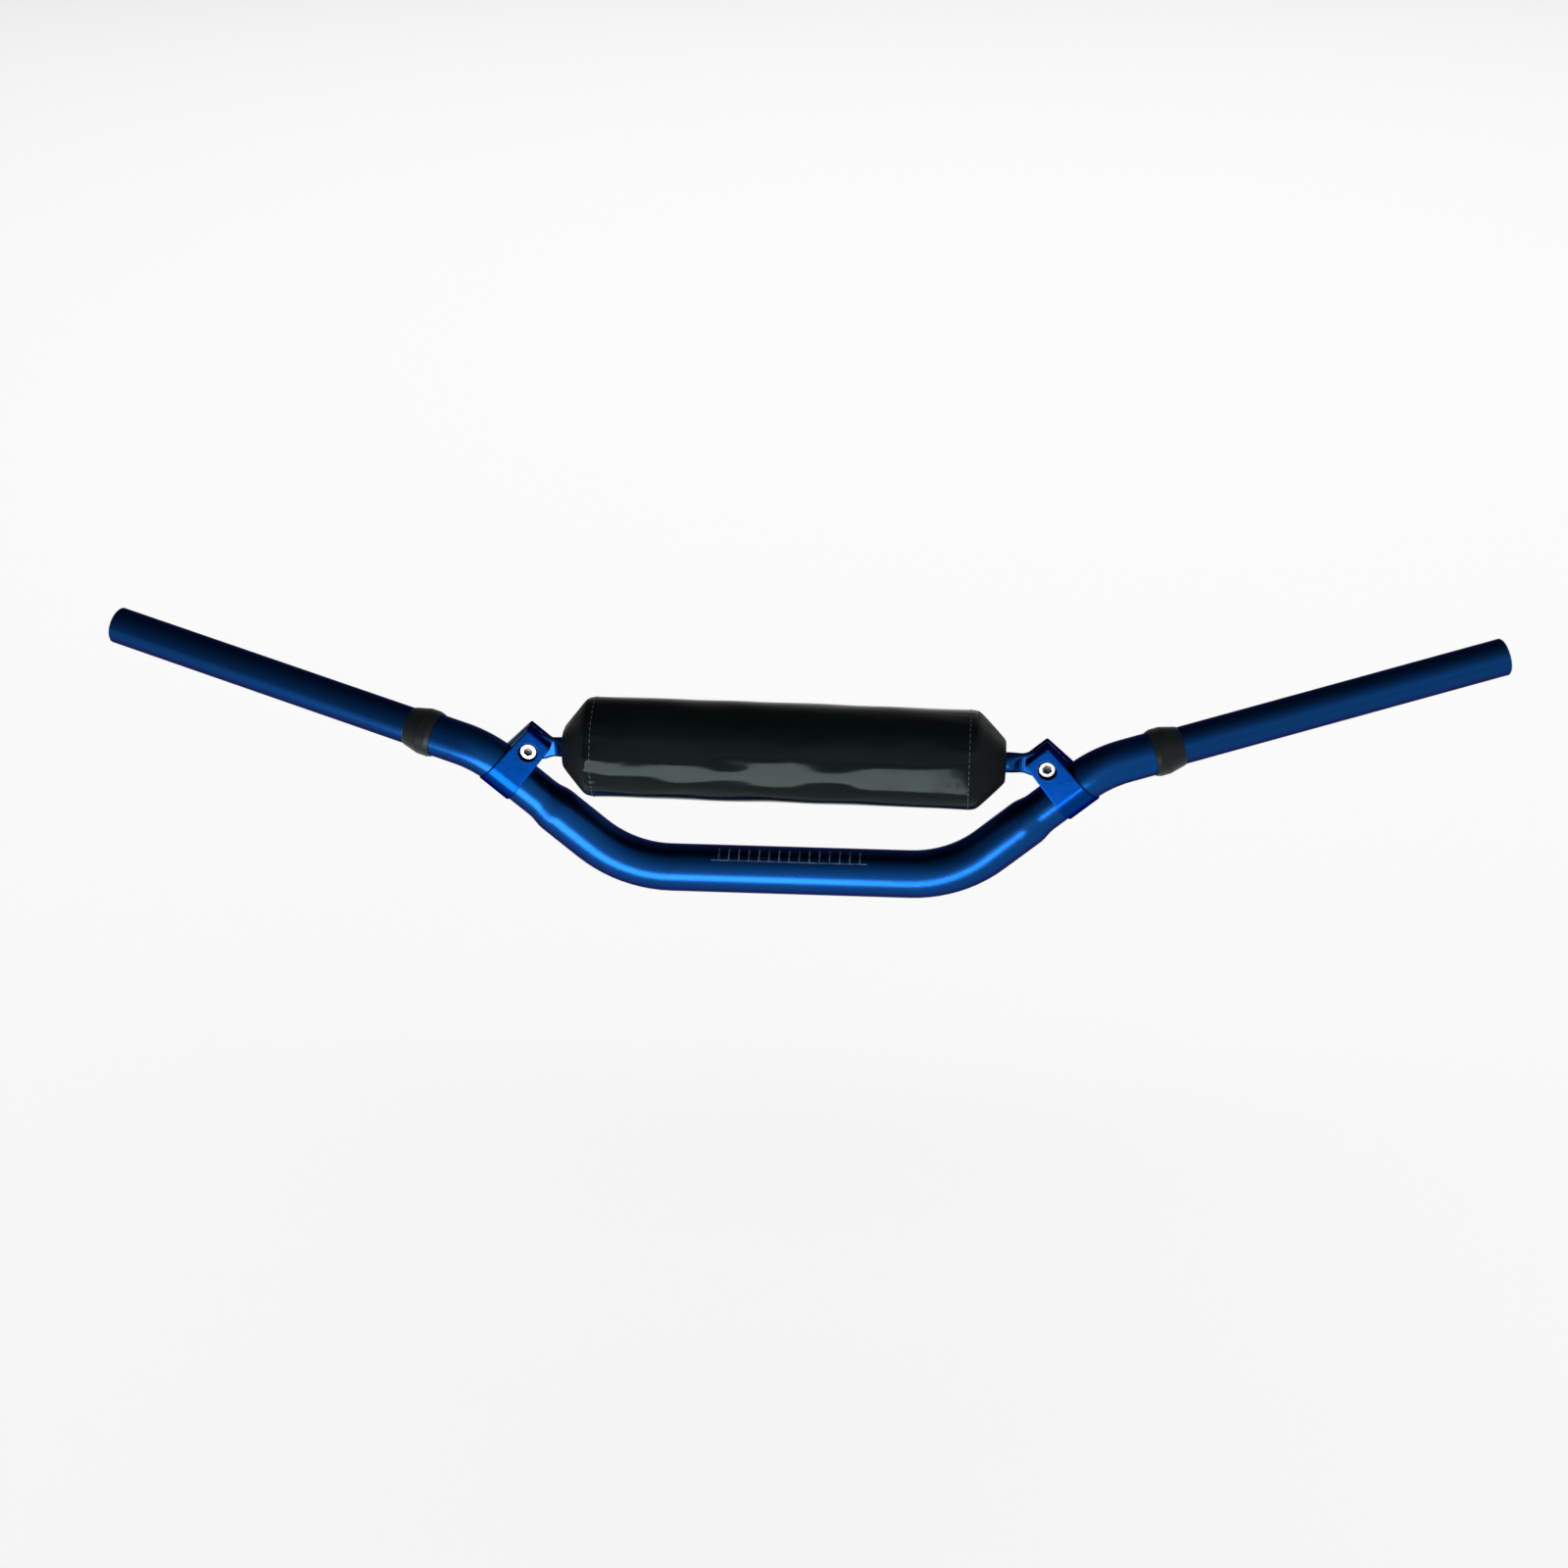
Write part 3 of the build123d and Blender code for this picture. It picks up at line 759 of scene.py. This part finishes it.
# Stitches
def stitch_places(cover_tree, spots, along_bar):
    """Where stitches lie on the cover, their outward directions and the ways that they run."""
    places = []
    for x, (y, z, out_y, out_z) in spots:
        inward = (pad_point(0, -out_y, -out_z) - pad_point(0, 0, 0)).normalized()
        start = pad_point(x, y + out_y * SEARCH_FROM, z + out_z * SEARCH_FROM)
        place, normal = cover_tree.ray_cast(start, inward)[:2]
        if place is None:
            continue
        if normal.dot(inward) > 0:
            normal = -normal
        run = Vector((1, 0, 0)) if along_bar else Vector((0, -inward.z, inward.y))
        run = (run - normal * run.dot(normal)).normalized()
        places.append((place - normal * STITCH_SINK * MM, normal, run))
    return places


def ring_row(cover_tree, x):
    """Places for stitches round the pad at this x."""
    count = int(OUTLINE_LENGTH / STITCH_PITCH)
    spots = outline(PAD_SIZE, PAD_CORNER, [(i + 0.5) / count for i in range(count)])
    return stitch_places(cover_tree, [(x, spot) for spot in spots], along_bar=False)


def flap_row(cover_tree):
    """Places for stitches along the free edge of the outer flap."""
    fraction = (FLAP_AT - STITCH_FROM_FLAP / OUTLINE_LENGTH) % 1.0
    spot = outline(PAD_SIZE, PAD_CORNER, [fraction])[0]
    spots = []
    x = SEAM_LEFT + FLAP_ROW_MARGIN
    while x < SEAM_RIGHT - FLAP_ROW_MARGIN:
        spots.append((x, spot))
        x += STITCH_PITCH
    return stitch_places(cover_tree, spots, along_bar=True)


def stitch_mesh(name, places):
    """Short arched threads, each lying along its run."""
    points, faces = [], []
    length, radius = STITCH_LENGTH * MM, STITCH_THICK * MM / 2
    sides = STITCH_SIDES
    for middle, normal, run in places:
        across = run.cross(normal).normalized()
        base = len(points)
        for t, share in STITCH_PROFILE:
            arch = STITCH_ARCH - STITCH_DIP * t * t
            for i in range(sides):
                a = 2 * math.pi * i / sides
                out = across * math.cos(a) + normal * (math.sin(a) + arch)
                points.append(middle + run * (t * length) + out * radius * share)
        tip = len(points) - sides
        for first in range(base, tip, sides):
            faces += ring_faces(first, first + sides, sides)
        faces.append(tuple(base + i for i in range(sides)))
        faces.append(tuple(tip + i for i in reversed(range(sides))))
    return smooth_mesh(name, points, faces)


def make_stitches(cover):
    cover_tree = BVHTree.FromObject(cover, bpy.context.evaluated_depsgraph_get())
    places = ring_row(cover_tree, SEAM_LEFT + STITCH_FROM_SEAM)
    places += ring_row(cover_tree, SEAM_RIGHT - STITCH_FROM_SEAM)
    places += flap_row(cover_tree)
    seam = new_object("pad_stitches", stitch_mesh("pad_stitches", places))
    seam.data.materials.append(thread("thread"))
    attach(seam, "root")


def make_pad():
    closure = tape("hook_and_loop")
    dress_node("pad_hook_strip", closure)
    dress_node("pad_loop_strip", closure)
    make_foam()
    cover = make_cover()
    make_stitches(cover)
    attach(cover, "root")
    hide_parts("pad_cover", "pad_end_left", "pad_end_right")


set_camera()
set_room()
set_lamps()
set_floor()
dress_hard_parts()
make_pad()

bpy.context.scene.view_settings.view_transform = "Standard"
